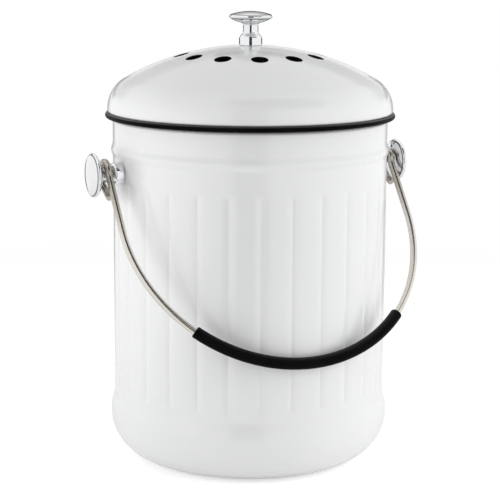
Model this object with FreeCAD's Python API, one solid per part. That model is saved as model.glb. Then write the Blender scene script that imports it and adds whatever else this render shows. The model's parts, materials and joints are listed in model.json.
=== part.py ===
import FreeCAD, Part

import math
import os

from FreeCAD import Vector

# Compost bin for a kitchen top: an enamelled steel bin with a bail and a domed lid that holds a filter.
# Millimetres and degrees. +Z is up, the origin is the middle of the base, the bail turns about X
# and lies forward, towards -Y, at rest.

# Shared sizes
sheet = 1.0                 # enamelled steel of the bin and the lid
seat_gap = 0.3              # between a piece that moves and what it rests on or slides in
joint_gap = 0.05            # between pieces that are screwed or pushed together
cut_overrun = 5.0           # how far a cutter runs past the piece it cuts

# Bin: collar, bead, reeded wall and bulged foot
bin_radius = 85.3           # crest of the reeds and outside of the plain bands
rim_height = 214.0
rim_roll = 2.1              # radius of the rolled rim
bead_drop = 19.2            # from the rim down to the middle of the bead
bead_width = 9.0
bead_rise = 1.1
knob_drop = 12.1            # from the middle of the bead down to the side knobs
reed_drop = 16.8            # from the middle of the bead down to the top of the reeds
reed_count = 28
reed_depth = 1.0            # from a reed's crest to the valley beside it
reed_fade = 5.0             # height over which a valley sinks to its full depth
fade_steps = 3
foot_band = 2.9             # plain band between the foot and the reeds
foot_bulge = 2.1            # how far the foot stands past the wall
foot_round = 28.7
foot_fillet = 12.0

# Knob, the same on the lid and on both sides
knob_base_radius = 7.2
knob_base_height = 4.7
knob_base_taper = 3.7
neck_radius = 4.75
neck_length = 4.0
neck_flare = 1.5            # radius of the hollow round between neck and head
flare_end = 102.0           # angle where that round runs out into the head's underside
underside_bulge = 0.3
knob_head_radius = 13.35
knob_height = 21.0
knob_crown = 1.95           # rise of the slightly domed top
knob_rim = 2.6              # height of the head's rounded rim
knob_rim_bulge = 0.9

# Screws, washers and gaskets that hold the knobs
screw_radius = 2.5
screw_grip = 11.0           # length of screw inside a knob
screw_tip_room = 1.5        # depth of the knob's hole past the screw's tip
screw_head_radius = 4.75
screw_head_height = 3.0
screw_head_edge = 1.4       # upright edge of the head, below its domed top
screw_hole_gap = 0.3        # radial play of a screw in a hole that it passes through
washer_radius = 5.6
washer_thickness = 1.0
gasket_radius = 6.0
gasket_thickness = 1.5

# Bail: wire, eyes and grip
wire_radius = 2.1
eye_gap = 0.8               # radial play of the eye on the knob's neck
eye_wrap = 205.0            # how far the eye goes round the neck
eye_tail = 14.0
leg_offset = 6.0            # how far a leg passes in front of the knobs' axis, when it hangs
bend_radius = 10.0          # bend that leads a leg forward into its eye
bail_leg = 42.3             # from the knobs' axis down to the middle of the half circle
grip_radius = 3.65
grip_spread = 88.0          # part of the half circle that the grip covers
grip_edge_round = 0.6
bail_rest_gap = 0.4         # between the grip at rest and the reed that it leans on

# Lid
lid_overhang = 3.3          # how far the lid's side stands past the bin
dome_round = 157.0
shoulder_round = 21.0
lid_side = 0.5              # straight stretch of the side
lid_bend = 1.7              # outside radius where the side turns in to the flange
lid_flange = 3.5            # flat width of the flange inside that bend
knob_seat_radius = 9.0      # flat spot on top of the dome
vent_count = 12
vent_radius = 5.0
vent_ring_radius = 43.0
vent_turn = -16.5           # angle of the first vent from +X

# Seal on the lid's flange
seal_bed = 3.4              # height of rubber between the flange and the rim, and of the nose
seal_nose = 1.4             # how far the nose stands past the lid
seal_lip = 1.2              # thickness of the lip over the flange
seal_lip_reach = 2.2        # how far that lip reaches over the flange
seal_skirt = 1.8            # thickness of the skirt that plugs the mouth
seal_skirt_height = 8.3
seal_skirt_lead = 0.8       # taper at the skirt's lower edge

# Filter: housing, pad and cover
housing_radius = 59.0
housing_wall = 2.0
housing_dome_gap = 1.0      # between the housing's upper edge and the dome
hub_inset = 0.5             # the hub stands inside the flat spot of the dome by this much
housing_vent_radius = 6.0
pad_thickness = 10.0
pad_edge_gap = 1.0
pad_edge_round = 1.5
stand_off_room = 0.8        # between the lid screw's head and the pad
stand_off_count = 4
stand_off_thickness = 2.0
stand_off_inner = 14.0      # stand-off ribs run between these two radii
stand_off_outer = 34.0
lug_count = 3
lug_angle = 18.0
lug_height = 2.0
lug_depth = 1.6
lug_rise = 2.7              # from the cover's plate up to the housing's lugs
lug_stop_angle = 4.0
lug_stop_gap = 0.4          # angle between a cover lug and its stop
twist_margin = 6.0          # turn past the lugs' own width that frees the cover
cover_wall = 2.0
cover_slot_count = 18
cover_slot_width = 4.0
cover_slot_inner = 26.0     # slots run between these two radii, measured to the centres of their ends
cover_slot_outer = 50.0
finger_bar_length = 40.0
finger_bar_thickness = 5.0
finger_bar_height = 7.0

# Places worked out from the sizes
wall_inner = bin_radius - sheet
mouth_radius = bin_radius - 2 * rim_roll
rim_middle = rim_height - rim_roll
bead_middle = rim_height - bead_drop
knob_axis = bead_middle - knob_drop
foot_middle_radius = bin_radius + foot_bulge - foot_round
foot_top = foot_round + math.sqrt(foot_bulge * (2 * (foot_round + foot_fillet) - foot_bulge))
reed_low = foot_top + foot_band
reed_high = bead_middle - reed_drop
reed_pitch = 360.0 / reed_count

neck_low = knob_base_height + knob_base_taper
neck_high = neck_low + neck_length
neck_middle = neck_low + neck_length / 2
rim_low = knob_height - knob_crown - knob_rim
rim_high = knob_height - knob_crown

eye_radius = neck_radius + eye_gap + wire_radius
bail_radius = bin_radius + neck_middle
bail_reach = bail_leg + bail_radius
bail_stand = bin_radius + bail_rest_gap + grip_radius
bail_swept = math.degrees(math.asin(bail_stand / math.hypot(bail_reach, leg_offset)))
bail_lean = bail_swept - math.degrees(math.atan2(leg_offset, bail_reach))
bail_travel = 360 - 2 * bail_swept
bend_angle = math.degrees(math.acos((leg_offset + bend_radius) / (eye_radius + bend_radius)))
bend_drop = math.sqrt((eye_radius + bend_radius) ** 2 - (leg_offset + bend_radius) ** 2)

lid_radius = bin_radius + lid_overhang
flange_low = rim_height + seat_gap + seal_bed
flange_radius = lid_radius - lid_bend - lid_flange
bend_middle = flange_low + lid_bend
shoulder_middle = bend_middle + lid_side
shoulder_radius = lid_radius - shoulder_round
dome_middle = shoulder_middle - math.sqrt((dome_round - shoulder_round) ** 2 - shoulder_radius ** 2)
dome_angle = math.degrees(math.atan2(shoulder_middle - dome_middle, shoulder_radius))
knob_seat = dome_middle + math.sqrt(dome_round ** 2 - knob_seat_radius ** 2)
lid_inner_round = dome_round - sheet
lid_inner_seat = dome_middle + math.sqrt(lid_inner_round ** 2 - knob_seat_radius ** 2)

hub_radius = knob_seat_radius - hub_inset
housing_top = dome_middle + math.sqrt(lid_inner_round ** 2 - housing_radius ** 2) - housing_dome_gap
housing_under = housing_top - housing_wall
stand_off = washer_thickness + screw_head_height + stand_off_room
pad_top = housing_under - stand_off
pad_low = pad_top - pad_thickness
cover_top = pad_low - seat_gap
cover_low = cover_top - cover_wall
housing_low = cover_top + seat_gap
housing_lug_low = cover_top + lug_rise
housing_lug_high = housing_lug_low + lug_height
cover_lug_low = housing_lug_high + seat_gap
cover_lug_high = cover_lug_low + lug_height
cover_inner = housing_radius + lug_depth + seat_gap
cover_lug_inner = housing_radius + seat_gap
cover_rim_top = cover_lug_high + seat_gap
twist_angle = lug_angle + twist_margin

up = Vector(0, 0, 1)
origin = Vector(0, 0, 0)
side = Vector(1, 0, 0)


def at(radius, height):
    """Point of a profile in the XZ plane."""
    return Vector(radius, 0, height)


def round_at(middle, radius, angle):
    """Point on a circle of a profile, its angle counted from +X towards +Z."""
    turn = math.radians(angle)
    return middle + Vector(radius * math.cos(turn), 0, radius * math.sin(turn))


def bow(middle, radius, start, end):
    """Arc step of an outline about a middle point, from one angle to another."""
    return round_at(middle, radius, (start + end) / 2), round_at(middle, radius, end)


def soft_step(start, end):
    """Two equal arc steps that lead a wall from one radius to another, upright at both ends."""
    half_rise = (end.x - start.x) / 2
    half_run = (end.z - start.z) / 2
    radius = (half_rise ** 2 + half_run ** 2) / (2 * abs(half_rise))
    turn = math.asin(abs(half_run) / radius) / 2
    inward = math.copysign(radius * (1 - math.cos(turn)), half_rise)
    along = math.copysign(radius * math.sin(turn), half_run)
    first = start + Vector(inward, 0, along)
    last = end - Vector(inward, 0, along)
    return (first, (start + end) / 2), (last, end)


def outline(start, *steps):
    """Closed face: a point is a line to it, a pair is an arc through its first point to its second."""
    edges = []
    here = start
    for step in steps:
        if isinstance(step, tuple):
            through, there = step
            edges.append(Part.Arc(here, through, there).toShape())
        else:
            there = step
            edges.append(Part.LineSegment(here, there).toShape())
        here = there
    edges.append(Part.LineSegment(here, start).toShape())
    return Part.Face(Part.Wire(edges))


def turned(face):
    """Solid of a profile turned about Z."""
    return face.revolve(origin, up, 360)


def ring_of(tool, count, first_angle):
    """Copies of a solid round Z, as one compound."""
    copies = []
    for index in range(count):
        copy = tool.copy()
        copy.rotate(origin, up, first_angle + index * 360 / count)
        copies.append(copy)
    return Part.makeCompound(copies)


def sector(inner, outer, low, high, angle):
    """Block of a ring, centred on +X."""
    face = outline(at(inner, low), at(outer, low), at(outer, high), at(inner, high))
    block = face.revolve(origin, up, angle)
    block.rotate(origin, up, -angle / 2)
    return block


def drilled(shape, radius, start, direction, depth):
    """Shape with a round hole that starts one overrun before a point."""
    hole = Part.makeCylinder(radius, depth + cut_overrun, start - direction * cut_overrun, direction)
    return shape.cut(hole)


def export(shape, node):
    """One file per piece."""
    if not shape.isValid():
        raise ValueError(node + " is not a valid shape")
    shape.exportStep("parts/" + node + ".step")


# Bin
def polar(radius, angle, height):
    turn = math.radians(angle)
    return Vector(radius * math.cos(turn), radius * math.sin(turn), height)


def ring_wire(crest, depth, height):
    """Outline of the wall at one height, one arc per reed. Deep reeds meet in sharp valleys."""
    valley = crest - depth
    arcs = []
    for index in range(reed_count):
        angle = index * reed_pitch
        start = polar(valley, angle - reed_pitch / 2, height)
        end = polar(valley, angle + reed_pitch / 2, height)
        arcs.append(Part.Arc(start, polar(crest, angle, height), end).toShape())
    return Part.Wire(arcs)


def reeded_core(crest, steps):
    """Solid inside the reeded wall. The valleys sink and rise again in soft steps at both ends."""
    low_rings = []
    high_rings = []
    for step in range(steps + 1):
        part = step / steps
        depth = reed_depth * part ** 2 * (3 - 2 * part)
        low_rings.append(ring_wire(crest, depth, reed_low + reed_fade * part))
        high_rings.append(ring_wire(crest, depth, reed_high - reed_fade * part))
    return Part.makeLoft(low_rings + high_rings[::-1], True, True)


def foot_cup():
    """Flat base, bulged foot and the plain band above it."""
    middle = at(foot_middle_radius, foot_round)
    fillet_middle = at(bin_radius + foot_fillet, foot_top)
    lean = math.degrees(math.atan2(foot_top - foot_round, fillet_middle.x - middle.x))
    inner_round = foot_round - sheet
    inner_fillet = foot_fillet + sheet
    return turned(outline(
        at(0, 0),
        at(foot_middle_radius, 0),
        bow(middle, foot_round, -90, lean),
        bow(fillet_middle, foot_fillet, 180 + lean, 180),
        at(bin_radius, reed_low),
        at(wall_inner, reed_low),
        at(wall_inner, foot_top),
        bow(fillet_middle, inner_fillet, 180, 180 + lean),
        bow(middle, inner_round, lean, -90),
        at(0, sheet)))


def collar_ring():
    """Plain band with the bead, and the rim rolled inward. Inside, the bead is filled."""
    rim_radius = bin_radius - rim_roll
    roll_middle = at(rim_radius, rim_middle)
    roll_end = 360 - math.degrees(math.acos((wall_inner - rim_radius) / rim_roll))
    bead_low = bead_middle - bead_width / 2
    bead_high = bead_middle + bead_width / 2
    return turned(outline(
        at(bin_radius, reed_high),
        at(bin_radius, bead_low),
        *soft_step(at(bin_radius, bead_low), at(bin_radius + bead_rise, bead_middle)),
        *soft_step(at(bin_radius + bead_rise, bead_middle), at(bin_radius, bead_high)),
        at(bin_radius, rim_middle),
        bow(roll_middle, rim_roll, 0, 180),
        round_at(roll_middle, rim_roll, roll_end),
        at(wall_inner, reed_high)))


def bin_body():
    reeds = reeded_core(bin_radius, fade_steps).cut(reeded_core(wall_inner, 1))
    body = foot_cup().fuse([reeds, collar_ring()]).removeSplitter()
    for direction in (side, -side):
        start = Vector(0, 0, knob_axis)
        body = drilled(body, screw_radius + screw_hole_gap, start, direction, bin_radius)
    return body


# Knobs and their fasteners, made upright on Z with the knob's base at height 0
def knob():
    rim_radius = knob_head_radius - knob_rim_bulge
    crown_round = (rim_radius ** 2 + knob_crown ** 2) / (2 * knob_crown)
    crown_middle = at(0, knob_height - crown_round)
    crown_angle = math.degrees(math.asin(rim_radius / crown_round))
    flare_middle = at(neck_radius + neck_flare, neck_high)
    flare_out = round_at(flare_middle, neck_flare, flare_end)
    rim_foot = at(rim_radius, rim_low)
    run = rim_foot - flare_out
    underside = (flare_out + rim_foot) / 2 + at(run.z, -run.x) * (underside_bulge / run.Length)
    solid = turned(outline(
        at(0, 0),
        at(knob_base_radius, 0),
        at(knob_base_radius, knob_base_height),
        *soft_step(at(knob_base_radius, knob_base_height), at(neck_radius, neck_low)),
        at(neck_radius, neck_high),
        bow(flare_middle, neck_flare, 180, flare_end),
        (underside, rim_foot),
        (at(knob_head_radius, (rim_low + rim_high) / 2), at(rim_radius, rim_high)),
        bow(crown_middle, crown_round, 90 - crown_angle, 90)))
    return drilled(solid, screw_radius + joint_gap, origin, up, screw_grip + screw_tip_room)


def screw(under_head):
    """Pan-head screw, its tip up inside the knob and its head below the pieces that it holds."""
    head_top = -under_head
    edge_low = head_top - screw_head_edge
    crown = screw_head_height - screw_head_edge
    crown_round = (screw_head_radius ** 2 + crown ** 2) / (2 * crown)
    crown_middle = at(0, head_top - screw_head_height + crown_round)
    crown_angle = math.degrees(math.asin(screw_head_radius / crown_round))
    return turned(outline(
        at(0, screw_grip),
        at(screw_radius, screw_grip),
        at(screw_radius, head_top),
        at(screw_head_radius, head_top),
        at(screw_head_radius, edge_low),
        bow(crown_middle, crown_round, crown_angle - 90, -90)))


def flat_ring(outer, inner, low, high):
    return turned(outline(at(inner, low), at(outer, low), at(outer, high), at(inner, high)))


def on_side(shape, direction):
    """Upright piece laid along X, with its height 0 on the outside of the bin."""
    shape.rotate(origin, Vector(0, 1, 0), 90 * direction)
    shape.translate(Vector(direction * bin_radius, 0, knob_axis))
    return shape


def side_fasteners(direction):
    """Gasket shaped to the wall, washer and screw inside the bin."""
    hole = screw_radius + screw_hole_gap
    gasket_low = -sheet - gasket_thickness
    washer_low = gasket_low - washer_thickness
    gasket = on_side(flat_ring(gasket_radius, hole, gasket_low, 0), direction)
    inside = Part.makeCylinder(wall_inner - joint_gap, rim_height)
    washer = flat_ring(washer_radius, screw_radius + joint_gap, washer_low, gasket_low)
    return gasket.common(inside), on_side(washer, direction), on_side(screw(-washer_low), direction)


# Bail, made hanging straight down with the knobs' axis on X, then leaned forward to rest on the wall
def leaned(shape):
    shape.rotate(origin, side, -bail_lean)
    shape.translate(Vector(0, 0, knob_axis))
    return shape


def wire_disc(middle):
    """Level cross-section of the wire."""
    return Part.Face(Part.Wire(Part.Circle(middle, up, wire_radius).toShape()))


def bail_half(direction):
    """One leg with its bend, eye and tail, and half of the half circle."""
    x = direction * bail_radius
    eye_end = math.radians(eye_wrap)
    eye_front = Vector(x, -eye_radius, 0)
    leg_top = Vector(x, -leg_offset, -bend_drop)
    leg_low = Vector(x, -leg_offset, -bail_leg)
    tail_top = Vector(x, -eye_radius * math.cos(eye_end), eye_radius * math.sin(eye_end))
    tail_way = Vector(0, math.sin(eye_end), math.cos(eye_end))
    eye = wire_disc(eye_front).revolve(origin, -side, eye_wrap)
    eye_low = wire_disc(eye_front).revolve(origin, side, bend_angle)
    bend = wire_disc(leg_top).revolve(leg_top - Vector(0, bend_radius, 0), side, bend_angle)
    leg = Part.makeCylinder(wire_radius, bail_leg - bend_drop, leg_low, up)
    tail = Part.makeCylinder(wire_radius, eye_tail, tail_top, tail_way)
    quarter = wire_disc(leg_low).revolve(Vector(0, -leg_offset, -bail_leg), Vector(0, direction, 0), 90)
    return [leg, bend, eye_low, eye, tail, quarter]


def bail_wire():
    pieces = bail_half(1) + bail_half(-1)
    return leaned(pieces[0].fuse(pieces[1:]).removeSplitter())


def bail_grip():
    """Sleeve on the half circle, with rounded outer edges at its ends."""
    middle = Vector(0, -leg_offset, -bail_leg)
    start = middle - up * bail_radius
    outer = Part.Face(Part.Wire(Part.Circle(start, side, grip_radius).toShape()))
    bore = Part.Face(Part.Wire(Part.Circle(start, side, wire_radius + joint_gap).toShape()))
    axis = Vector(0, 1, 0)
    sleeve = outer.revolve(middle, axis, grip_spread)
    sleeve = sleeve.makeFillet(grip_edge_round, end_edges(sleeve))
    sleeve = sleeve.cut(bore.revolve(middle, axis, grip_spread))
    sleeve.rotate(middle, axis, -grip_spread / 2)
    return leaned(sleeve)


def end_edges(tube):
    """Edges round the two flat ends of a tube."""
    edges = []
    for face in tube.Faces:
        if isinstance(face.Surface, Part.Plane):
            edges.extend(face.Edges)
    return edges


# Lid
def lid_shell():
    """Domed sheet with a turned-in flange, a flat seat for the knob and a ring of vents."""
    dome = at(0, dome_middle)
    shoulder = at(shoulder_radius, shoulder_middle)
    bend = at(lid_radius - lid_bend, bend_middle)
    seat_angle = math.degrees(math.acos(knob_seat_radius / dome_round))
    inner_seat_angle = math.degrees(math.acos(knob_seat_radius / lid_inner_round))
    shell = turned(outline(
        at(0, knob_seat),
        at(knob_seat_radius, knob_seat),
        bow(dome, dome_round, seat_angle, dome_angle),
        bow(shoulder, shoulder_round, dome_angle, 0),
        at(lid_radius, bend_middle),
        bow(bend, lid_bend, 0, -90),
        at(flange_radius, flange_low),
        at(flange_radius, flange_low + sheet),
        at(bend.x, flange_low + sheet),
        bow(bend, lid_bend - sheet, -90, 0),
        at(lid_radius - sheet, shoulder_middle),
        bow(shoulder, shoulder_round - sheet, 0, dome_angle),
        bow(dome, lid_inner_round, dome_angle, inner_seat_angle),
        at(0, lid_inner_seat)))
    shell = drilled(shell, screw_radius + screw_hole_gap, at(0, flange_low), up, knob_seat)
    vent = Part.makeCylinder(vent_radius, knob_seat - flange_low, at(vent_ring_radius, flange_low + lid_bend))
    return shell.cut(ring_of(vent, vent_count, vent_turn))


def lid_seal():
    """Rubber ring: nose outside, channel round the lid's flange, and a skirt that plugs the mouth."""
    low = rim_height + seat_gap
    nose = at(lid_radius + seal_nose - seal_bed / 2, low + seal_bed / 2)
    channel = flange_radius - joint_gap
    lip_radius = flange_radius + seal_lip_reach
    lip_top = flange_low + sheet + seal_lip
    skirt_radius = mouth_radius - seat_gap
    skirt_inner = skirt_radius - seal_skirt
    skirt_low = low - seal_skirt_height
    return turned(outline(
        at(skirt_radius, low),
        at(nose.x, low),
        bow(nose, seal_bed / 2, -90, 90),
        at(channel, flange_low),
        at(channel, flange_low + sheet),
        at(lip_radius, flange_low + sheet),
        at(lip_radius, lip_top),
        at(skirt_inner, lip_top),
        at(skirt_inner, skirt_low),
        at(skirt_radius - seal_skirt_lead, skirt_low),
        at(skirt_radius, skirt_low + 2 * seal_skirt_lead)))


# Filter
def filter_housing():
    """Pan under the vents, hung from the dome on its hub, with ribs that stand the pad off the screw."""
    inner = housing_radius - housing_wall
    pan = turned(outline(
        at(0, housing_under),
        at(inner, housing_under),
        at(inner, housing_low),
        at(housing_radius, housing_low),
        at(housing_radius, housing_top),
        at(hub_radius, housing_top),
        at(hub_radius, lid_inner_seat),
        at(0, lid_inner_seat)))
    rib_length = stand_off_outer - stand_off_inner
    rib = Part.makeBox(rib_length, stand_off_thickness, stand_off + housing_wall / 2,
                       Vector(stand_off_inner, -stand_off_thickness / 2, pad_top))
    lug = sector(inner + housing_wall / 2, housing_radius + lug_depth,
                 housing_lug_low, housing_lug_high, lug_angle)
    stop = sector(inner + housing_wall / 2, housing_radius + lug_depth,
                  housing_lug_low, cover_lug_high, lug_stop_angle)
    stop.rotate(origin, up, -(lug_angle + lug_stop_angle) / 2 - lug_stop_gap)
    pan = pan.fuse(ring_of(rib, stand_off_count, vent_turn).Solids)
    pan = pan.fuse(ring_of(lug, lug_count, 0).Solids + ring_of(stop, lug_count, 0).Solids)
    pan = drilled(pan, screw_radius + screw_hole_gap, at(0, pad_low), up, knob_seat)
    vent = Part.makeCylinder(housing_vent_radius, housing_wall + 2 * cut_overrun,
                             at(vent_ring_radius, housing_under - cut_overrun))
    return pan.cut(ring_of(vent, vent_count, vent_turn)).removeSplitter()


def charcoal_filter():
    radius = housing_radius - housing_wall - pad_edge_gap
    pad = Part.makeCylinder(radius, pad_thickness, at(0, pad_low))
    rims = [edge for edge in pad.Edges if isinstance(edge.Curve, Part.Circle)]
    return pad.makeFillet(pad_edge_round, rims)


def filter_cover():
    """Slotted cover with a finger bar. Its lugs lie on the housing's lugs until it is twisted."""
    outer = cover_inner + cover_wall
    cover = turned(outline(
        at(0, cover_low),
        at(outer, cover_low),
        at(outer, cover_rim_top),
        at(cover_inner, cover_rim_top),
        at(cover_inner, cover_top),
        at(0, cover_top)))
    lug = sector(cover_lug_inner, cover_inner + cover_wall / 2, cover_lug_low, cover_lug_high, lug_angle)
    bar_low = cover_low - finger_bar_height
    bar = Part.makeBox(finger_bar_length, finger_bar_thickness, finger_bar_height + cover_wall / 2,
                       Vector(-finger_bar_length / 2, -finger_bar_thickness / 2, bar_low))
    cover = cover.fuse(ring_of(lug, lug_count, 0).Solids + [bar])
    half = cover_slot_width / 2
    slot_low = cover_low - cut_overrun
    slot_height = cover_wall + 2 * cut_overrun
    slot = Part.makeBox(cover_slot_outer - cover_slot_inner, cover_slot_width, slot_height,
                        Vector(cover_slot_inner, -half, slot_low))
    ends = [Part.makeCylinder(half, slot_height, at(radius, slot_low))
            for radius in (cover_slot_inner, cover_slot_outer)]
    slot = slot.fuse(ends).removeSplitter()
    return cover.cut(ring_of(slot, cover_slot_count, 180 / cover_slot_count)).removeSplitter()


# Build
os.makedirs("parts", exist_ok=True)
export(bin_body(), "bin_body")
for name, direction in (("left", -1), ("right", 1)):
    gasket, washer, fastener = side_fasteners(direction)
    export(on_side(knob(), direction), name + "_side_knob")
    export(gasket, name + "_knob_gasket")
    export(washer, name + "_knob_washer")
    export(fastener, name + "_knob_screw")
export(bail_wire(), "bail_wire")
export(bail_grip(), "bail_grip")
export(lid_shell(), "lid_shell")
export(lid_seal(), "lid_seal")
seat = Vector(0, 0, knob_seat)
housing_stack = knob_seat - housing_under
export(knob().translated(seat), "lid_knob")
screw_stack = housing_stack + washer_thickness
lid_washer = flat_ring(washer_radius, screw_radius + joint_gap, -screw_stack, -housing_stack)
export(lid_washer.translated(seat), "lid_knob_washer")
export(screw(screw_stack).translated(seat), "lid_knob_screw")
export(filter_housing(), "filter_housing")
export(charcoal_filter(), "charcoal_filter")
export(filter_cover(), "filter_cover")
print("bail lean %.3f, bail travel %.3f, knob axis %.3f, cover twist %.1f, top %.3f" % (
    bail_lean, bail_travel, knob_axis, twist_angle, knob_seat + knob_height))
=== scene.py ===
import json
import math

import bmesh
import bpy
from mathutils import Matrix, Vector
from mathutils import noise as noise_field


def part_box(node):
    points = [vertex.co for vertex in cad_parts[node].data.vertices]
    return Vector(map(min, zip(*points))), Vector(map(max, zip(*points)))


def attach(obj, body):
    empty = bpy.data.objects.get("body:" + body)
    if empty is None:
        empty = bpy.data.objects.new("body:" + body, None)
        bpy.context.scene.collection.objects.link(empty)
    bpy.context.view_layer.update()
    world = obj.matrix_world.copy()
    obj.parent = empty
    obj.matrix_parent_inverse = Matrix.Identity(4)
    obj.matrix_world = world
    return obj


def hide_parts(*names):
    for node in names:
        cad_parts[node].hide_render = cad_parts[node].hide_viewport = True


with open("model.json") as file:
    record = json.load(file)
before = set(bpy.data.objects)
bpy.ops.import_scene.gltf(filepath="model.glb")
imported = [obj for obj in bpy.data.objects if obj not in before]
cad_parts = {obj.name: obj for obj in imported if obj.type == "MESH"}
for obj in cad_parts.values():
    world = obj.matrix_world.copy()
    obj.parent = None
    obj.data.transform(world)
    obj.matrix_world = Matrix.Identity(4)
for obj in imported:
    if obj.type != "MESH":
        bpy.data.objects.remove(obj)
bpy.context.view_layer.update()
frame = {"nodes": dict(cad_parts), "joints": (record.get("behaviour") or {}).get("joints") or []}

# Compost bin: looks of an enamelled bin with chromed knobs, a wire bail and a vented lid.
# Metres, in the frame of the solids: +Z up, the bail turns about X and lies towards -Y at rest.

MM = 0.001
nodes = frame["nodes"]
joints = {joint["name"]: joint for joint in frame["joints"]}

# Sizes that the frame gives
_, bin_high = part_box("bin_body")
lid_low, lid_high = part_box("lid_shell")
knob_low, knob_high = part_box("lid_knob")
_, wire_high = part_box("bail_wire")
grip_low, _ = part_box("bail_grip")
pad_low, pad_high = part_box("charcoal_filter")
side_low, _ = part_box("right_side_knob")
knob_axis = joints["bail_swing"]["pos_m"][2]
knob_height = knob_high.z - knob_low.z
head_radius = knob_high.x

# Bin, from its base up
bin_radius = side_low.x
rim_height = bin_high.z
sheet = 1.0 * MM
rim_roll = 2.1 * MM
bead_drop = 19.2 * MM
bead_middle = rim_height - bead_drop
bead_half = 4.5 * MM
bead_rise = 1.1 * MM
reed_drop = 16.8 * MM
reed_high = bead_middle - reed_drop
reed_count = 28
reed_columns = 16
reed_depth = 0.7 * MM
reed_power = 4
reed_fade = 5.0 * MM
foot_band = 2.9 * MM
foot_bulge = 2.1 * MM
foot_round = 28.7 * MM
foot_fillet = 12.0 * MM
foot_top = foot_round + math.sqrt(foot_bulge * (2 * (foot_round + foot_fillet) - foot_bulge))
reed_low = foot_top + foot_band
screw_hole = 2.8 * MM
crease_angle = 14
foot_steps = 32
fillet_steps = 8
reed_steps = 10
bead_steps = 10
roll_steps = 18
inner_reed_steps = 4
inner_fillet_steps = 6
inner_foot_steps = 20
bore_segments = 48

# Lid
lid_radius = lid_high.x
dome_round = 157 * MM
shoulder_round = 21 * MM
lid_side = 0.5 * MM
lid_bend = 1.7 * MM
lid_flange = 3.5 * MM
knob_seat_radius = 9 * MM
vent_count = 12
vent_radius = 5.1 * MM
vent_flare = 2.0 * MM
vent_ring_radius = 43 * MM
vent_turn = math.radians(-16.5)
cut_below = 4 * sheet
cut_above = 3 * sheet
lid_segments = 240
vent_segments = 64
dome_steps = 48
shoulder_steps = 28
lid_bend_steps = 8
inner_bend_steps = 6
inner_shoulder_steps = 20
inner_dome_steps = 36

# Sizes of the bail that its box doesn't give by itself
wire_radius = 2.1 * MM
grip_radius = 3.65 * MM
grip_play = 0.05 * MM
grip_bore = wire_radius + grip_play
grip_round = 0.9 * MM
eye_radius = 7.65 * MM
eye_wrap = math.radians(205)
eye_tail = 14 * MM
# Span below the knob axis over which painted shade darkens the wire towards its eyes
eye_shade_start = 12 * MM
eye_shade_end = 32 * MM
leg_offset = 6.0 * MM
bend_radius = 10 * MM
bail_leg = 42.3 * MM
grip_spread = math.radians(88)
tip_share = 0.25
tail_steps = 12
eye_steps = 64
leg_bend_steps = 20
leg_steps = 12
half_circle_steps = 180
grip_steps = 72
grip_round_steps = 8
grip_bore_steps = 48
grip_ring = 40
bail_radius = wire_high.x - wire_radius
bail_reach = bail_leg + bail_radius
bail_lean = (math.asin((-grip_low.y - grip_radius) / math.hypot(bail_reach, leg_offset))
             - math.atan2(leg_offset, bail_reach))
bend_angle = math.acos((leg_offset + bend_radius) / (eye_radius + bend_radius))
bend_drop = (eye_radius + bend_radius) * math.sin(bend_angle)

# Knob, from its seat up
knob_bore = 2.55 * MM
bore_depth = 12.5 * MM
base_radius = 7.2 * MM
base_height = 4.7 * MM
base_edge = 0.35 * MM
neck_radius = 4.75 * MM
neck_low = 8.4 * MM
neck_high = 12.4 * MM
neck_flare = 1.5 * MM
flare_end = 102
underside_bulge = 0.3 * MM
head_rim = 2.6 * MM
head_rim_bulge = 0.9 * MM
head_crown = 1.95 * MM
# Width and fade of the painted dark reflection line along the rim of the knob's head
painted_edge_line = 0.15 * MM
painted_edge_fade = 0.5 * MM
knob_segments = 144
knob_crease = 40
neck_steps = 16
flare_steps = 8
underside_steps = 14
head_rim_steps = 16
crown_steps = 24

# Screw heads
screw_radius = 2.5 * MM
screw_head_radius = 4.75 * MM
screw_head_height = 3.0 * MM
screw_head_edge = 1.4 * MM
recess_reach = 2.6 * MM
recess_half = 0.55 * MM
recess_depth = 1.5 * MM
recess_slope = 0.6
recess_steepness = 4
screw_chamfer = 0.5 * MM
screw_segments = 120
screw_crown_steps = 40

# Charcoal pad
pad_crown = 0.6 * MM
pad_round = 2.2 * MM
pad_cells = 0.35 * MM
pad_cell_scale = 420.0
pad_face_share = 0.5
pad_segments = 192
pad_steps = 40
pad_edge_steps = 6
no_crease = 180


# Mesh helpers
usual_crease = 35
on_axis = 1e-7
weld_gap = 1e-6


def new_object(name, vertices, faces, uvs=None, sharp=usual_crease):
    """Smooth mesh object with sharp edges above an angle, and UVs per face corner if given."""
    mesh = bpy.data.meshes.new(name)
    mesh.from_pydata([tuple(v) for v in vertices], [], faces)
    if uvs:
        layer = mesh.uv_layers.new(name="UVMap")
        for loop in mesh.loops:
            layer.data[loop.index].uv = uvs[loop.index]
    mesh.validate()
    mesh.update()
    mesh.shade_smooth()
    mesh.set_sharp_from_angle(angle=math.radians(sharp))
    piece = bpy.data.objects.new(name, mesh)
    bpy.context.scene.collection.objects.link(piece)
    return piece


def reed_radius(crest, depth, angle):
    """Radius of the reeded wall at an angle: flat crests, and valleys that draw in towards their lines."""
    half = math.pi / reed_count
    turn = (angle + half) % (2 * half) - half
    return crest - depth * abs(turn / half) ** reed_power


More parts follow.
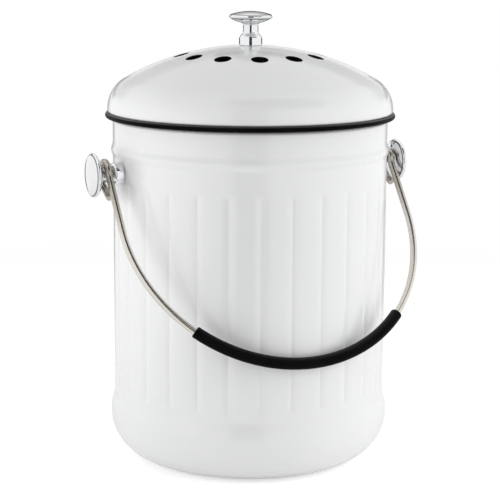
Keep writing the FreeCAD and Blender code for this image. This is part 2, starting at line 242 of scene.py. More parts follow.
def lathe(name, points, segments, sharp=usual_crease, depths=None):
    """Turned mesh about Z. Points on the axis become poles. A row with a depth is reeded."""
    vertices = []
    rings = []
    for row, (r, z) in enumerate(points):
        if r < on_axis:
            rings.append([len(vertices)])
            vertices.append((0, 0, z))
            continue
        rings.append(list(range(len(vertices), len(vertices) + segments)))
        for index in range(segments):
            angle = 2 * math.pi * index / segments
            out = reed_radius(r, depths[row], angle) if depths else r
            vertices.append((out * math.cos(angle), out * math.sin(angle), z))
    faces = []
    for low, high in zip(rings, rings[1:]):
        for index in range(segments):
            after = (index + 1) % segments
            if len(low) == 1:
                faces.append((low[0], high[after], high[index]))
            elif len(high) == 1:
                faces.append((low[index], low[after], high[0]))
            else:
                faces.append((low[index], low[after], high[after], high[index]))
    return new_object(name, vertices, faces, sharp=sharp)


def tube(name, path, sides, radii, ring=32, capped=True):
    """Tube along path points. Each point has two side directions and a radius; UVs run along and around."""
    vertices = []
    lengths = [0.0]
    for before, after in zip(path, path[1:]):
        lengths.append(lengths[-1] + (after - before).length)
    for point, (first, second), radius in zip(path, sides, radii):
        for index in range(ring):
            angle = 2 * math.pi * index / ring
            vertices.append(point + radius * (math.cos(angle) * first + math.sin(angle) * second))
    faces = []
    uvs = []
    for row in range(len(path) - 1):
        for index in range(ring):
            after = (index + 1) % ring
            faces.append((row * ring + index, row * ring + after,
                          (row + 1) * ring + after, (row + 1) * ring + index))
            low, high = index / ring, (index + 1) / ring
            start, end = lengths[row], lengths[row + 1]
            uvs += [(start, low), (start, high), (end, high), (end, low)]
    if capped:
        last = (len(path) - 1) * ring
        faces.append(tuple(reversed(range(ring))))
        uvs += [(0.0, 0.0)] * ring
        faces.append(tuple(range(last, last + ring)))
        uvs += [(lengths[-1], 0.0)] * ring
    return new_object(name, vertices, faces, uvs)


# Material helpers
noise_low = 0.3
noise_high = 0.7
fine_relief = 0.1 * MM
cell_relief = 0.8 * MM


def material(name):
    """New node material and its shader node."""
    made = bpy.data.materials.new(name)
    made.use_nodes = True
    return made, made.node_tree.nodes["Principled BSDF"]


def metal(name):
    """New material of bare metal and its shader node."""
    made, shader = material(name)
    shader.inputs["Metallic"].default_value = 1.0
    return made, shader


def add(made, kind, **inputs):
    """Node with some of its sockets set. A socket name's underscores stand for spaces."""
    node = made.node_tree.nodes.new(kind)
    for key, value in inputs.items():
        node.inputs[key.replace("_", " ")].default_value = value
    return node


def join(made, output, target):
    """Link from one node's output to another one's socket."""
    made.node_tree.links.new(output, target)


def place(made):
    """Where a point of the surface lies in the frame of its piece."""
    return add(made, "ShaderNodeTexCoord").outputs["Object"]


def noise(made, scale, detail=3.0, roughness=0.5, where=None):
    """Soft noise, most of it between noise_low and noise_high."""
    node = add(made, "ShaderNodeTexNoise", Scale=scale, Detail=detail, Roughness=roughness)
    join(made, where or place(made), node.inputs["Vector"])
    return node.outputs["Fac"]


def spread(made, value, low, high, start=noise_low, end=noise_high):
    """A value mapped from one span to another."""
    node = add(made, "ShaderNodeMapRange", From_Min=start, From_Max=end, To_Min=low, To_Max=high)
    join(made, value, node.inputs["Value"])
    return node.outputs["Result"]


def two_tone(made, value, first, second, start=noise_low, end=noise_high):
    """Colour that runs from one to another over a span of a value."""
    node = add(made, "ShaderNodeValToRGB")
    for element, stop, colour in zip(node.color_ramp.elements, (start, end), (first, second)):
        element.position = stop
        element.color = (*colour, 1)
    join(made, value, node.inputs["Fac"])
    return node.outputs["Color"]


def blend(made, part, first, second):
    """Colour between two: the first where the part is 0, the second where it is 1."""
    node = add(made, "ShaderNodeMix")
    node.data_type = "RGBA"
    factor, first_colour, second_colour = node.inputs[0], node.inputs[6], node.inputs[7]
    join(made, part, factor)
    join(made, first, first_colour)
    join(made, second, second_colour)
    return node.outputs[2]


def work_out(made, kind, operation, value, other=None):
    """Maths node on a value, with a constant in its second socket if one is given."""
    node = add(made, kind)
    node.operation = operation
    join(made, value, node.inputs[0])
    if other is not None:
        node.inputs[1].default_value = other
    return node


def height_of(made, vector):
    """Upward part of a vector."""
    split = add(made, "ShaderNodeSeparateXYZ")
    join(made, vector, split.inputs["Vector"])
    return split.outputs["Z"]


def off_painted_edge(made, middle, across):
    """Distance from the edge between a knob's crown and rim, about an axis through a middle point; it places
    the painted dark reflection along that edge.
    """
    moved = work_out(made, "ShaderNodeVectorMath", "SUBTRACT", place(made), middle)
    flat = work_out(made, "ShaderNodeVectorMath", "MULTIPLY", moved.outputs["Vector"], across)
    radius = work_out(made, "ShaderNodeVectorMath", "LENGTH", flat.outputs["Vector"])
    gap = work_out(made, "ShaderNodeMath", "SUBTRACT", radius.outputs["Value"], head_radius - head_rim_bulge)
    return work_out(made, "ShaderNodeMath", "ABSOLUTE", gap.outputs["Value"]).outputs["Value"]


def bump(made, shader, height, strength, depth):
    """Relief of the surface, by a share of a depth."""
    node = add(made, "ShaderNodeBump", Strength=strength, Distance=depth)
    join(made, height, node.inputs["Height"])
    join(made, node.outputs["Normal"], shader.inputs["Normal"])


def paint(made, shader, colour, roughness):
    """Feeds a shader its colour and roughness."""
    join(made, colour, shader.inputs["Base Color"])
    join(made, roughness, shader.inputs["Roughness"])


# Materials
def enamel_material():
    """White gloss enamel: a faint orange peel, a little thicker and cooler here and there."""
    made, shader = material("white_enamel")
    thick = (0.79, 0.795, 0.80)
    thin = (0.83, 0.833, 0.835)
    clouds = noise(made, scale=9.0, detail=2.0)
    patches = noise(made, scale=40.0, detail=4.0)
    paint(made, shader, two_tone(made, clouds, thick, thin), spread(made, patches, low=0.19, high=0.25))
    shader.inputs["Coat Weight"].default_value = 0.4
    shader.inputs["Coat Roughness"].default_value = 0.08
    bump(made, shader, noise(made, scale=700.0, detail=1.0), strength=0.06, depth=fine_relief)
    return made


def chrome_material(name, middle, across):
    """Polished chrome with faint wipe marks in its gloss, and a painted dark reflection along the edge of
    the knob's head.
    """
    made, shader = metal(name)
    marks = noise(made, scale=120.0)
    bright = two_tone(made, marks, (0.82, 0.83, 0.85), (0.88, 0.885, 0.90))
    dark = two_tone(made, marks, (0.10, 0.10, 0.11), (0.16, 0.16, 0.17))
    # Painted reflection: the colour turns dark next to the rim of the head, where dark surroundings would be
    # mirrored
    part = spread(made, off_painted_edge(made, middle, across), 0.0, 1.0, start=painted_edge_line, end=painted_edge_fade)
    wiped = noise(made, scale=300.0, detail=5.0, roughness=0.6)
    paint(made, shader, blend(made, part, dark, bright), spread(made, wiped, low=0.03, high=0.09))
    return made


def wire_material():
    """Drawn steel wire: fine lines along its length, with a warm tint, and painted shade that darkens it
    near the eyes.
    """
    made, shader = metal("drawn_wire")
    stretch = add(made, "ShaderNodeMapping", Scale=(8.0, 60.0, 1.0))
    join(made, add(made, "ShaderNodeTexCoord").outputs["UV"], stretch.inputs["Vector"])
    lines = noise(made, scale=1.0, roughness=0.6, where=stretch.outputs["Vector"])
    bright = two_tone(made, lines, (0.64, 0.61, 0.55), (0.84, 0.81, 0.74))
    # Painted shade: a darker copy of the wire's colour, blended in towards the eyes
    eye_shade_colour = two_tone(made, lines, (0.38, 0.35, 0.31), (0.58, 0.55, 0.49))
    eye_shade_mask = spread(made, height_of(made, place(made)), 0.0, 1.0,
                  start=knob_axis - eye_shade_end, end=knob_axis - eye_shade_start)
    paint(made, shader, blend(made, eye_shade_mask, bright, eye_shade_colour), spread(made, lines, low=0.14, high=0.24))
    bump(made, shader, lines, strength=0.15, depth=fine_relief)
    return made


def rubber_material(name, dark, light, rough, painted_top_sheen):
    """Black rubber: slightly uneven gloss, a painted sheen that makes upward faces more reflective, and a
    fine moulded grain.
    """
    made, shader = material(name)
    clouds = noise(made, scale=60.0)
    patches = noise(made, scale=150.0)
    paint(made, shader, two_tone(made, clouds, dark, light), spread(made, patches, *rough))
    # Painted sheen: upward faces get a higher specular level, so only the top catches a highlight
    upward = height_of(made, add(made, "ShaderNodeTexCoord").outputs["Normal"])
    join(made, spread(made, upward, *painted_top_sheen, start=0.45, end=0.95), shader.inputs["Specular IOR Level"])
    bump(made, shader, noise(made, scale=2500.0, detail=2.0), strength=0.12, depth=fine_relief)
    return made


def plastic_material():
    """Black moulded plastic with a fine spark-eroded grain."""
    made, shader = material("black_plastic")
    clouds = noise(made, scale=50.0, detail=2.0)
    patches = noise(made, scale=200.0, detail=2.0)
    colour = two_tone(made, clouds, (0.006, 0.006, 0.0065), (0.010, 0.010, 0.011))
    paint(made, shader, colour, spread(made, patches, low=0.42, high=0.55))
    bump(made, shader, noise(made, scale=1800.0, detail=2.0), strength=0.2, depth=fine_relief)
    return made


def charcoal_material():
    """Open foam filled with charcoal: painted shade darkens each cell's sunken middle, so the walls look
    lighter.
    """
    made, shader = material("charcoal_foam")
    cells = add(made, "ShaderNodeTexVoronoi", Scale=700.0)
    join(made, place(made), cells.inputs["Vector"])
    distance = cells.outputs["Distance"]
    # Painted shade: darker in the middle of each cell, where the bump sinks the foam
    colour = two_tone(made, distance, (0.010, 0.010, 0.011), (0.035, 0.035, 0.037), start=0.2)
    paint(made, shader, colour, spread(made, noise(made, scale=90.0), low=0.85, high=0.98))
    bump(made, shader, distance, strength=0.8, depth=cell_relief)
    return made


def fastener_material():
    """Satin steel of screws and washers."""
    made, shader = metal("satin_steel")
    grain = noise(made, scale=400.0, detail=4.0, roughness=0.6)
    colour = two_tone(made, grain, (0.50, 0.50, 0.51), (0.64, 0.64, 0.65))
    paint(made, shader, colour, spread(made, grain, low=0.30, high=0.42))
    bump(made, shader, grain, strength=0.08, depth=fine_relief)
    return made


rubber_light = (0.004, 0.004, 0.0045)
enamel = enamel_material()
upright_chrome = chrome_material("polished_chrome_upright", middle=(0, 0, 0), across=(1, 1, 0))
level_chrome = chrome_material("polished_chrome_level", middle=(0, 0, knob_axis), across=(0, 1, 1))
drawn_wire = wire_material()
seal_rubber = rubber_material("seal_rubber", dark=(0.002, 0.002, 0.002), light=rubber_light,
                              rough=(0.32, 0.40), painted_top_sheen=(0.02, 0.8))
grip_rubber = rubber_material("grip_rubber", dark=(0.002, 0.002, 0.0025), light=rubber_light,
                              rough=(0.34, 0.46), painted_top_sheen=(0.03, 0.16))
plastic = plastic_material()
charcoal = charcoal_material()
steel = fastener_material()


def dress(piece, look):
    """Gives a piece one material."""
    piece.data.materials.clear()
    piece.data.materials.append(look)


for node, look in (("bin_body", enamel), ("lid_shell", enamel), ("lid_seal", seal_rubber),
                   ("left_knob_gasket", seal_rubber), ("right_knob_gasket", seal_rubber),
                   ("left_knob_washer", steel), ("right_knob_washer", steel), ("lid_knob_washer", steel),
                   ("left_knob_screw", steel), ("right_knob_screw", steel), ("lid_knob_screw", steel),
                   ("filter_housing", plastic), ("filter_cover", plastic), ("charcoal_filter", charcoal),
                   ("left_side_knob", level_chrome), ("right_side_knob", level_chrome),
                   ("lid_knob", upright_chrome),
                   ("bail_grip", grip_rubber), ("bail_wire", drawn_wire)):
    dress(nodes[node], look)


def stand_in(piece, node, body, look):
    """A finer piece takes the place of a CAD node."""
    dress(piece, look)
    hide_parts(node)
    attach(piece, body)


# Profile helpers
def weld(piece):
    """Joins points that lie on each other."""
    work = bmesh.new()
    work.from_mesh(piece.data)
    bmesh.ops.remove_doubles(work, verts=work.verts, dist=weld_gap)
    work.to_mesh(piece.data)
    work.free()


def steps_between(start, end, count):
    """Evenly spaced values, both ends included."""
    return [start + (end - start) * index / count for index in range(count + 1)]


def bow(middle, radius, start, end, count):
    """Profile points on an arc, angles in degrees."""
    turns = [math.radians(angle) for angle in steps_between(start, end, count)]
    return [middle + radius * Vector((math.cos(turn), math.sin(turn))) for turn in turns]


def bulged(start, end, rise, count):
    """Profile points on a shallow arc that stands to the right of the line from start to end."""
    run = end - start
    out = Vector((run.y, -run.x)).normalized() * rise
    return [start + run * part + out * 4 * part * (1 - part) for part in steps_between(0.0, 1.0, count)]


def smooth(part):
    """Share that starts and ends softly."""
    return part * part * (3 - 2 * part)


def eased(start, end, count):
    """Profile points of an S-shaped step, upright at both ends."""
    points = []
    for part in steps_between(0.0, 1.0, count):
        across = start.x + (end.x - start.x) * smooth(part)
        points.append(Vector((across, start.y + (end.y - start.y) * part)))
    return points


# Bin
def reed_rows(crest, steps):
    """Rows of the reeded wall, the valleys sinking and rising softly at the ends."""
    rows = []
    for part in steps_between(0.0, 1.0, steps):
        rows.append((Vector((crest, reed_low + reed_fade * part)), reed_depth * smooth(part)))
    upper = [(Vector((crest, reed_low + reed_high - point.y)), depth) for point, depth in reversed(rows)]
    return rows + upper


def plain(points):
    """Rows without reeds."""
    return [(point, 0.0) for point in points]


def body_rows():
    """Profile of the bin from the middle of its base, up outside, over the rim and down inside."""
    inner = bin_radius - sheet
    foot = Vector((bin_radius + foot_bulge - foot_round, foot_round))
    fillet = Vector((bin_radius + foot_fillet, foot_top))
    lean = math.degrees(math.atan2(fillet.y - foot.y, fillet.x - foot.x))
    roll = Vector((bin_radius - rim_roll, rim_height - rim_roll))
    swell = Vector((bin_radius + bead_rise, bead_middle))
    roll_end = 360 - math.degrees(math.acos((inner - roll.x) / rim_roll))
    rows = plain([Vector((0, 0)), Vector((foot.x / 2, 0))])
    rows += plain(bow(foot, foot_round, -90, lean, foot_steps))
    rows += plain(bow(fillet, foot_fillet, 180 + lean, 180, fillet_steps)[1:])
    rows += reed_rows(bin_radius, reed_steps)
    rows += plain(eased(Vector((bin_radius, bead_middle - bead_half)), swell, bead_steps))
    rows += plain(eased(swell, Vector((bin_radius, bead_middle + bead_half)), bead_steps)[1:])
    rows += plain(bow(roll, rim_roll, 0, 180, roll_steps))
    rows += plain(bow(roll, rim_roll, roll_end, roll_end, 1)[:1])
    rows += reed_rows(inner, inner_reed_steps)[::-1]
    rows += plain(bow(fillet, foot_fillet + sheet, 180, 180 + lean, inner_fillet_steps))
    rows += plain(bow(foot, foot_round - sheet, lean, -90, inner_foot_steps)[1:])
    return rows + plain([Vector((foot.x / 2, sheet)), Vector((0, sheet))])


def bored(piece, cutter):
    """Cuts a piece by another one, which is then removed."""
    cut = piece.modifiers.new("bore", "BOOLEAN")
    cut.operation = "DIFFERENCE"
    cut.solver = "EXACT"
    cut.object = cutter
    bpy.context.view_layer.update()
    made = bpy.data.meshes.new_from_object(piece.evaluated_get(bpy.context.evaluated_depsgraph_get()))
    piece.modifiers.clear()
    piece.data = made
    bpy.data.objects.remove(cutter)


def crease(piece):
    """Smooth faces again after a cut, with the sheet's edges kept sharp."""
    piece.data.shade_smooth()
    piece.data.set_sharp_from_angle(angle=math.radians(crease_angle))


def make_body():
    """Enamelled bin with its reeds, and bores for the side knobs' screws."""
    rows = body_rows()
    points, depths = zip(*rows)
    piece = lathe("bin_body_enamelled", points, reed_count * reed_columns, depths=depths)
    reach = bin_radius + sheet
    ends = [(0, -reach), (screw_hole, -reach), (screw_hole, reach), (0, reach)]
    cutter = lathe("bore", [Vector(end) for end in ends], bore_segments)
    cutter.data.transform(Matrix.Translation((0, 0, knob_axis)) @ Matrix.Rotation(math.pi / 2, 4, "Y"))
    bored(piece, cutter)
    crease(piece)
    stand_in(piece, "bin_body", "bin", enamel)


# Lid
def lid_rows():
    """Closed profile of the lid, and the height of the dome's middle."""
    bend = Vector((lid_radius - lid_bend, lid_low.z + lid_bend))
    shoulder = Vector((lid_radius - shoulder_round, bend.y + lid_side))
    dome = Vector((0, shoulder.y - math.sqrt((dome_round - shoulder_round) ** 2 - shoulder.x ** 2)))
    turn = math.degrees(math.atan2(shoulder.y - dome.y, shoulder.x))
    seat_turn = math.degrees(math.acos(knob_seat_radius / dome_round))
    inner_turn = math.degrees(math.acos(knob_seat_radius / (dome_round - sheet)))
    rows = bow(dome, dome_round, seat_turn, turn, dome_steps)
    rows += bow(shoulder, shoulder_round, turn, 0, shoulder_steps)[1:]
    rows += bow(bend, lid_bend, 0, -90, lid_bend_steps)
    rows += [bend - Vector((lid_flange, lid_bend)), bend - Vector((lid_flange, lid_bend - sheet))]
    rows += bow(bend, lid_bend - sheet, -90, 0, inner_bend_steps)
    rows += bow(shoulder, shoulder_round - sheet, 0, turn, inner_shoulder_steps)
    rows += bow(dome, dome_round - sheet, turn, inner_turn, inner_dome_steps)[1:]
    rows.append(Vector((screw_hole, rows[-1].y)))
    rows.append(Vector((screw_hole, rows[0].y)))
    return rows[::-1] + rows[-1:], dome.y


def vent_cutter(dome_low, index):
    """Cone that flares inward, so that no wall shows behind a vent's edge."""
    wide = vent_radius + vent_flare * cut_below / sheet
    ends = ((0, -cut_below), (wide, -cut_below), (vent_radius, 0), (vent_radius, cut_above), (0, cut_above))
    cutter = lathe("vent", [Vector(end) for end in ends], vent_segments)
    tilt = math.asin(vent_ring_radius / dome_round)
    spot = Vector((vent_ring_radius, 0, dome_low + dome_round * math.cos(tilt)))
    seat = Matrix.Translation(spot) @ Matrix.Rotation(tilt, 4, "Y")
    cutter.data.transform(Matrix.Rotation(vent_turn + 2 * math.pi * index / vent_count, 4, "Z") @ seat)
    return cutter


def make_lid():
    """Enamelled dome with its ring of vents."""
    rows, dome_low = lid_rows()
    piece = lathe("lid_shell_enamelled", rows, lid_segments)
    weld(piece)
    for index in range(vent_count):
        bored(piece, vent_cutter(dome_low, index))
    crease(piece)
    stand_in(piece, "lid_shell", "lid", enamel)


# Bail
bail_place = Matrix.Translation((0, 0, knob_axis)) @ Matrix.Rotation(-bail_lean, 4, "X")


def leg_path(sign):
    """Hanging centre line of one leg, from the tail's tip to the half circle, with its side directions."""
    spots = []
    tail_top = Vector((0, -eye_radius * math.cos(eye_wrap), eye_radius * math.sin(eye_wrap)))
    tail_way = Vector((0, math.sin(eye_wrap), math.cos(eye_wrap)))
    for run in steps_between(eye_tail, 0.0, tail_steps)[:-1]:
        spots.append((tail_top + tail_way * run, -tail_way))
    for angle in steps_between(eye_wrap, -bend_angle, eye_steps)[:-1]:
        cos, sin = math.cos(angle), math.sin(angle)
        spots.append((Vector((0, -eye_radius * cos, eye_radius * sin)), Vector((0, -sin, -cos))))
    bend_middle = Vector((0, -leg_offset - bend_radius, -bend_drop))
    for angle in steps_between(bend_angle, 0.0, leg_bend_steps)[:-1]:
        cos, sin = math.cos(angle), math.sin(angle)
        spots.append((bend_middle + bend_radius * Vector((0, cos, sin)), Vector((0, sin, -cos))))
    for height in steps_between(-bend_drop, -bail_leg, leg_steps)[:-1]:
        spots.append((Vector((0, -leg_offset, height)), Vector((0, 0, -1))))
    outward = Vector((sign, 0, 0))
    return [(spot + outward * bail_radius, outward, way.cross(outward)) for spot, way in spots]


def half_circle(start, end, count):
    """Centre line of the half circle between two angles, with its side directions."""
    path = []
    for angle in steps_between(start, end, count):
        radial = Vector((math.cos(angle), 0, -math.sin(angle)))
        path.append((Vector((0, -leg_offset, -bail_leg)) + bail_radius * radial, radial, Vector((0, -1, 0))))
    return path


def make_wire():
    """Bent wire with softly cut ends, its UVs along and around it."""
    right = leg_path(1)
    left = [(spot, outward, -second) for spot, outward, second in reversed(leg_path(-1))]
    line = right + half_circle(0.0, math.pi, half_circle_steps) + left
    tip = wire_radius * tip_share
    first = line[0][0] + (line[1][0] - line[0][0]).normalized() * tip
    last = line[-1][0] + (line[-2][0] - line[-1][0]).normalized() * tip
    line = [line[0], (first, *line[0][1:])] + line[1:-1] + [(last, *line[-1][1:]), line[-1]]
    radii = [wire_radius] * len(line)
    radii[0] = radii[-1] = wire_radius - tip
    piece = tube("bail_wire_bent", [spot for spot, _, _ in line], [pair for _, *pair in line], radii)
    piece.data.transform(bail_place)
    stand_in(piece, "bail_wire", "bail", drawn_wire)


def make_grip():
    """Rubber sleeve with rounded ends, open along its bore."""
    start = (math.pi - grip_spread) / 2
    end = math.pi - start
    turn = grip_round / bail_radius
    angles = []
    radii = []
    for step in steps_between(0.0, math.pi / 2, grip_round_steps):
        angles.append(start + turn * (1 - math.cos(step)))
        radii.append(grip_radius - grip_round * (1 - math.sin(step)))
    middle_angles = steps_between(start + turn, end - turn, grip_steps)[1:-1]
    rising = list(zip(angles, radii))
    falling = [(math.pi - angle, radius) for angle, radius in reversed(rising)]
    outside = rising + [(angle, grip_radius) for angle in middle_angles] + falling
    inside = [(angle, grip_bore) for angle in steps_between(end, start, grip_bore_steps)]
    rows = outside + inside + outside[:1]
    line = [half_circle(angle, angle, 1)[0] for angle, _ in rows]
    piece = tube("bail_grip_sleeve", [spot for spot, _, _ in line], [pair for _, *pair in line],
                 [radius for _, radius in rows], grip_ring, capped=False)
    weld(piece)
    piece.data.transform(bail_place)
    stand_in(piece, "bail_grip", "bail", grip_rubber)


# Knobs
def knob_profile():
    """Profile of a knob, from its bore over base, neck and head to the crown."""
    rim_radius = head_radius - head_rim_bulge
    rim_high = knob_height - head_crown
    rim_foot = Vector((rim_radius, rim_high - head_rim))
    flare = bow(Vector((neck_radius + neck_flare, neck_high)), neck_flare, 180, flare_end, flare_steps)
    crown_round = (rim_radius ** 2 + head_crown ** 2) / (2 * head_crown)
    crown_turn = math.degrees(math.asin(rim_radius / crown_round))
    points = [Vector((0, bore_depth)), Vector((knob_bore, bore_depth)), Vector((knob_bore, 0))]
    points += [Vector((base_radius - base_edge, 0)), Vector((base_radius, base_edge))]
    points += eased(Vector((base_radius, base_height)), Vector((neck_radius, neck_low)), neck_steps)
    points += flare
    points += bulged(flare[-1], rim_foot, underside_bulge, underside_steps)[1:]
    points += bulged(rim_foot, Vector((rim_radius, rim_high)), head_rim_bulge, head_rim_steps)[1:]
    crown = Vector((0, knob_height - crown_round))
    points += bow(crown, crown_round, 90 - crown_turn, 90, crown_steps)[1:]
    points[-1].x = 0
    return points


def make_knobs():
    """Lid's knob and the two side knobs, which are alike."""
    quarter = math.pi / 2
    right = Matrix.Translation((side_low.x, 0, knob_axis)) @ Matrix.Rotation(quarter, 4, "Y")
    left = Matrix.Translation((-side_low.x, 0, knob_axis)) @ Matrix.Rotation(-quarter, 4, "Y")
    places = (("lid_knob", "lid", Matrix.Translation((0, 0, knob_low.z)), upright_chrome),
              ("right_side_knob", "bin", right, level_chrome), ("left_side_knob", "bin", left, level_chrome))
    for node, body, spot, look in places:
        piece = lathe(node + "_turned", knob_profile(), knob_segments, knob_crease)
        piece.data.transform(spot)
        stand_in(piece, node, body, look)


# Screws with a cross recess
def screw_point(r, angle, z):
    """Point of the head with the recess pressed in, z counted from the crown into the head."""
    u = abs(r * math.cos(angle))
    v = abs(r * math.sin(angle))
    across = min(u, v) / recess_half
    along = max(u, v) / recess_reach
    if across < 1 and along < 1:
        wall = min(1.0, recess_steepness * (1 - across))
        z = max(z, recess_depth * (1 - recess_slope * along) * wall)
    return Vector((r * math.cos(angle), r * math.sin(angle), z))


def make_screws():
    """Screws of the three knobs, each with its head inside."""
    crown = screw_head_height - screw_head_edge
    crown_round = (screw_head_radius ** 2 + crown ** 2) / (2 * crown)
    for node, body in (("lid_knob_screw", "lid"), ("right_knob_screw", "bin"), ("left_knob_screw", "bin")):
        low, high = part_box(node)
        length = max(high - low)
        profile = [(r, crown_round - math.sqrt(crown_round ** 2 - r ** 2))
                   for r in steps_between(0.0, screw_head_radius, screw_crown_steps)]
        profile += [(screw_head_radius, screw_head_height), (screw_radius, screw_head_height)]
        profile += [(screw_radius, length - screw_chamfer), (screw_radius - screw_chamfer, length)]
        profile.append((0, length))
        piece = lathe(node + "_driven", [Vector(point) for point in profile], screw_segments)
        for vertex in piece.data.vertices:
            r = math.hypot(vertex.co.x, vertex.co.y)
            if vertex.co.z < crown:
                vertex.co = screw_point(r, math.atan2(vertex.co.y, vertex.co.x), vertex.co.z)
        turn = Matrix.Identity(4)
        spot = Vector((0, 0, low.z))
        if node.startswith("right"):
            turn, spot = Matrix.Rotation(math.pi / 2, 4, "Y"), Vector((low.x, 0, knob_axis))
        if node.startswith("left"):
            turn, spot = Matrix.Rotation(-math.pi / 2, 4, "Y"), Vector((high.x, 0, knob_axis))
        piece.data.transform(Matrix.Translation(spot) @ turn)
        stand_in(piece, node, body, steel)


# Charcoal pad
def make_pad():
    """Foam disc, slightly crowned, its faces broken up by open cells."""
    radius = pad_high.x - pad_cells
    half = (pad_high.z - pad_low.z) / 2 - pad_cells
    flat = radius - pad_round
    face = []
    for r in steps_between(0.0, flat, pad_steps):
        face.append(Vector((r, half - pad_crown * (r / flat) ** 2)))
    edge = face[-1].y - pad_round
    upper = face + bow(Vector((flat, edge)), pad_round, 90, 0, pad_edge_steps)[1:]
    lower = [Vector((point.x, -point.y)) for point in upper]
    side = [Vector((radius - pad_crown / 2, 0))]
    points = lower + side + upper[::-1]
    piece = lathe("charcoal_pad", points, pad_segments, no_crease)
    for vertex in piece.data.vertices:
        cell = noise_field.noise(vertex.co * pad_cell_scale)
        outward = vertex.co.normalized()
        on_face = abs(vertex.co.z) > pad_face_share * half
        outward.z = math.copysign(1.0, vertex.co.z) if on_face else 0.0
        vertex.co += outward.normalized() * (pad_cells * cell)
    piece.data.transform(Matrix.Translation((0, 0, (pad_low.z + pad_high.z) / 2)))
    stand_in(piece, "charcoal_filter", "lid", charcoal)


make_body()
make_lid()
make_wire()
make_grip()
make_knobs()
make_screws()
make_pad()


# Stage: pale floor that fades into white surroundings, soft lamps, and dark cards for the reflections
up = Vector((0, 0, 1))
middle = 0.14 * up
world_fill = 0.486
world_gloss = 1.0

# Floor
floor_clear = 0.25
floor_gone = 0.8
floor_lift = 0.40
floor_glow = 0.123
floor_segments = 64
floor_rough = 0.06
floor_shine = 0.04
floor_dark = (0.92, 0.92, 0.92)
floor_light = (0.94, 0.94, 0.94)

# Lamps, placed from the middle of the bin
lamp_reach = 1.0
lamp_nearer = 0.3
left_rise = 0.05
left_size = (1.4, 0.8)
left_power = 7.23
right_rise = 0.25
right_size = (1.4, 1.0)
right_power = 7.6
top_rise = 1.1
top_size = (1.0, 1.0)
top_power = 1.37

# Cards: how dark, where, and how wide and high
card_patch = 0.2
card_shade = 0.03
front_distance = 1.5
front_rise = 0.3
front_size = (0.75, 1.6)
back_distance = 2.2
back_low_shade = 0.35
back_low_height = -0.8
back_low_size = (2.25, 2.2)
back_high_shade = 0.85
back_high_height = 1.15
back_high_size = (5.0, 0.8)
knob_card_distance = 30 * MM
knob_card_rise = 4.7 * MM
knob_card_size = (55 * MM, 8 * MM)
edge_card_distance = 0.25
edge_card_height = 0.2575
edge_card_size = (115 * MM, 26 * MM)
edge_card_spread = 0.8
above_right_share = 0.15
above_near_share = 0.5
above_up_share = 0.83
above_distance = 1.4
above_shift = 0.3
above_size = (1.7, 0.8)


def make_floor():
    """Disc of pale gloss floor, clear white again some way from the object."""
    floor = lathe("floor", [Vector((0, 0)), Vector((floor_gone, 0))], floor_segments)
    made, shader = material("floor")
    clouds = noise(made, scale=3.0, detail=2.0)
    join(made, two_tone(made, clouds, floor_dark, floor_light), shader.inputs["Base Color"])
    shader.inputs["Roughness"].default_value = floor_rough
    shader.inputs["Specular IOR Level"].default_value = floor_shine
    shader.inputs["Emission Color"].default_value = (1, 1, 1, 1)
    seen = add(made, "ShaderNodeLightPath").outputs["Is Camera Ray"]
    glow = spread(made, seen, floor_glow, floor_lift, start=0.0, end=1.0)
    join(made, glow, shader.inputs["Emission Strength"])
    far = work_out(made, "ShaderNodeVectorMath", "LENGTH", place(made))
    fade = spread(made, far.outputs["Value"], 0.0, 1.0, start=floor_clear, end=floor_gone)
    clear = add(made, "ShaderNodeBsdfTransparent")
    mixed = add(made, "ShaderNodeMixShader")
    join(made, fade, mixed.inputs["Fac"])
    join(made, shader.outputs["BSDF"], mixed.inputs[1])
    join(made, clear.outputs["BSDF"], mixed.inputs[2])
    join(made, mixed.outputs["Shader"], made.node_tree.nodes["Material Output"].inputs["Surface"])
    floor.data.materials.append(made)


def make_world():
    """White for the camera and in reflections, and a softer light on the object."""
    world = bpy.data.worlds.new("studio")
    bpy.context.scene.world = world
    world.use_nodes = True
    background = world.node_tree.nodes["Background"]
    background.inputs["Color"].default_value = (1, 1, 1, 1)
    path = add(world, "ShaderNodeLightPath")
    seen = path.outputs["Is Camera Ray"]
    for ray in ("Is Glossy Ray", "Is Transmission Ray"):
        either = work_out(world, "ShaderNodeMath", "MAXIMUM", seen)
        join(world, path.outputs[ray], either.inputs[1])
        seen = either.outputs["Value"]
    strength = spread(world, seen, world_fill, world_gloss, start=0.0, end=1.0)
    join(world, strength, background.inputs["Strength"])


def make_card(name, spot, size, facing, shade):
    """Dark card that only shows in reflections, as the unlit parts of a studio do."""
    width, height = size
    along = Vector((-facing.y, facing.x, 0)).normalized() * (width / 2)
    rise = facing.cross(along).normalized() * (height / 2)
    corners = [spot - along - rise, spot + along - rise, spot + along + rise, spot - along + rise]
    card = new_object(name, corners, [(0, 1, 2, 3)])
    made, shader = material(name)
    darker = (shade * (1 - card_patch),) * 3
    lighter = (shade * (1 + card_patch),) * 3
    clouds = noise(made, scale=2.0, detail=2.0)
    join(made, two_tone(made, clouds, darker, lighter), shader.inputs["Base Color"])
    card.data.materials.append(made)
    card.visible_camera = False
    card.visible_diffuse = False
    card.visible_shadow = False


def make_lamp(name, spot, size, power):
    """Soft lamp that shines on the middle of the bin and doesn't show in reflections."""
    lamp = bpy.data.lights.new(name, "AREA")
    lamp.shape = "RECTANGLE"
    lamp.size, lamp.size_y = size
    lamp.energy = power
    light = bpy.data.objects.new(name, lamp)
    light.location = spot
    light.visible_glossy = False
    light.rotation_euler = (middle - spot).to_track_quat("-Z", "Y").to_euler()
    bpy.context.scene.collection.objects.link(light)


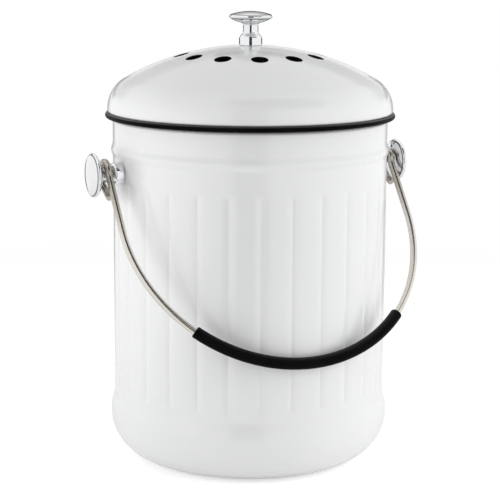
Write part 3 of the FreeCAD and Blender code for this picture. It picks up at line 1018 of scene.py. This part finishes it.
# Camera, fitted to the photograph's ellipses and reeds
camera_azimuth = math.radians(-23.9)
camera_distance = 1.09675
camera_height = 0.32894
camera_pitch = math.radians(10.277)
camera_roll = math.radians(0.361)
camera_offset = 0.43 * MM
camera_sight = 50
sensor_width = 36.0
image_width = 500
focal_pixels = 1767.21
level = Vector((math.cos(camera_azimuth), math.sin(camera_azimuth), 0))
ahead = Vector((-math.sin(camera_azimuth), math.cos(camera_azimuth), 0))


def make_camera():
    """Camera in front of the bin, on the side that the photograph shows."""
    data = bpy.data.cameras.new("camera")
    data.sensor_fit = "HORIZONTAL"
    data.sensor_width = sensor_width
    data.lens = focal_pixels / image_width * sensor_width
    data.clip_end = camera_sight
    forward = ahead * math.cos(camera_pitch) - up * math.sin(camera_pitch)
    upright = level.cross(forward)
    right = level * math.cos(camera_roll) + upright * math.sin(camera_roll)
    top = upright * math.cos(camera_roll) - level * math.sin(camera_roll)
    turn = Matrix((right, top, -forward)).transposed().to_4x4()
    spot = level * camera_offset - ahead * camera_distance + up * camera_height
    camera = bpy.data.objects.new("camera", data)
    camera.matrix_world = Matrix.Translation(spot) @ turn
    bpy.context.scene.collection.objects.link(camera)
    bpy.context.scene.camera = camera


def make_lamps():
    """Softboxes on the left and right, and a weak one above."""
    nearer = middle - ahead * lamp_nearer
    make_lamp("left_softbox", nearer - level * lamp_reach + up * left_rise, left_size, left_power)
    make_lamp("right_softbox", nearer + level * lamp_reach + up * right_rise, right_size, right_power)
    make_lamp("top_softbox", middle + up * top_rise, top_size, top_power)


def make_cards():
    """Cards in front, behind and above, and small ones for the edges of knobs and lid."""
    back = ahead * back_distance
    make_card("front_card", middle - ahead * front_distance + up * front_rise, front_size, ahead, card_shade)
    make_card("back_low_card", back + up * back_low_height, back_low_size, ahead, back_low_shade)
    make_card("back_high_card", back + up * back_high_height, back_high_size, ahead, back_high_shade)
    knob_spot = ahead * knob_card_distance + up * (knob_high.z + knob_card_rise)
    make_card("knob_card", knob_spot, knob_card_size, ahead, card_shade)
    for name, side in (("left_edge_card", -1), ("right_edge_card", 1)):
        facing = (ahead + level * side * edge_card_spread).normalized()
        spot = facing * edge_card_distance + up * edge_card_height
        make_card(name, spot, edge_card_size, facing, card_shade)
    above = (level * above_right_share - ahead * above_near_share + up * above_up_share).normalized()
    above_spot = middle + above * above_distance + level * above_shift
    make_card("above_card", above_spot, above_size, above, card_shade)


make_camera()
make_floor()
make_world()
make_lamps()
make_cards()

bpy.context.scene.view_settings.view_transform = "Standard"
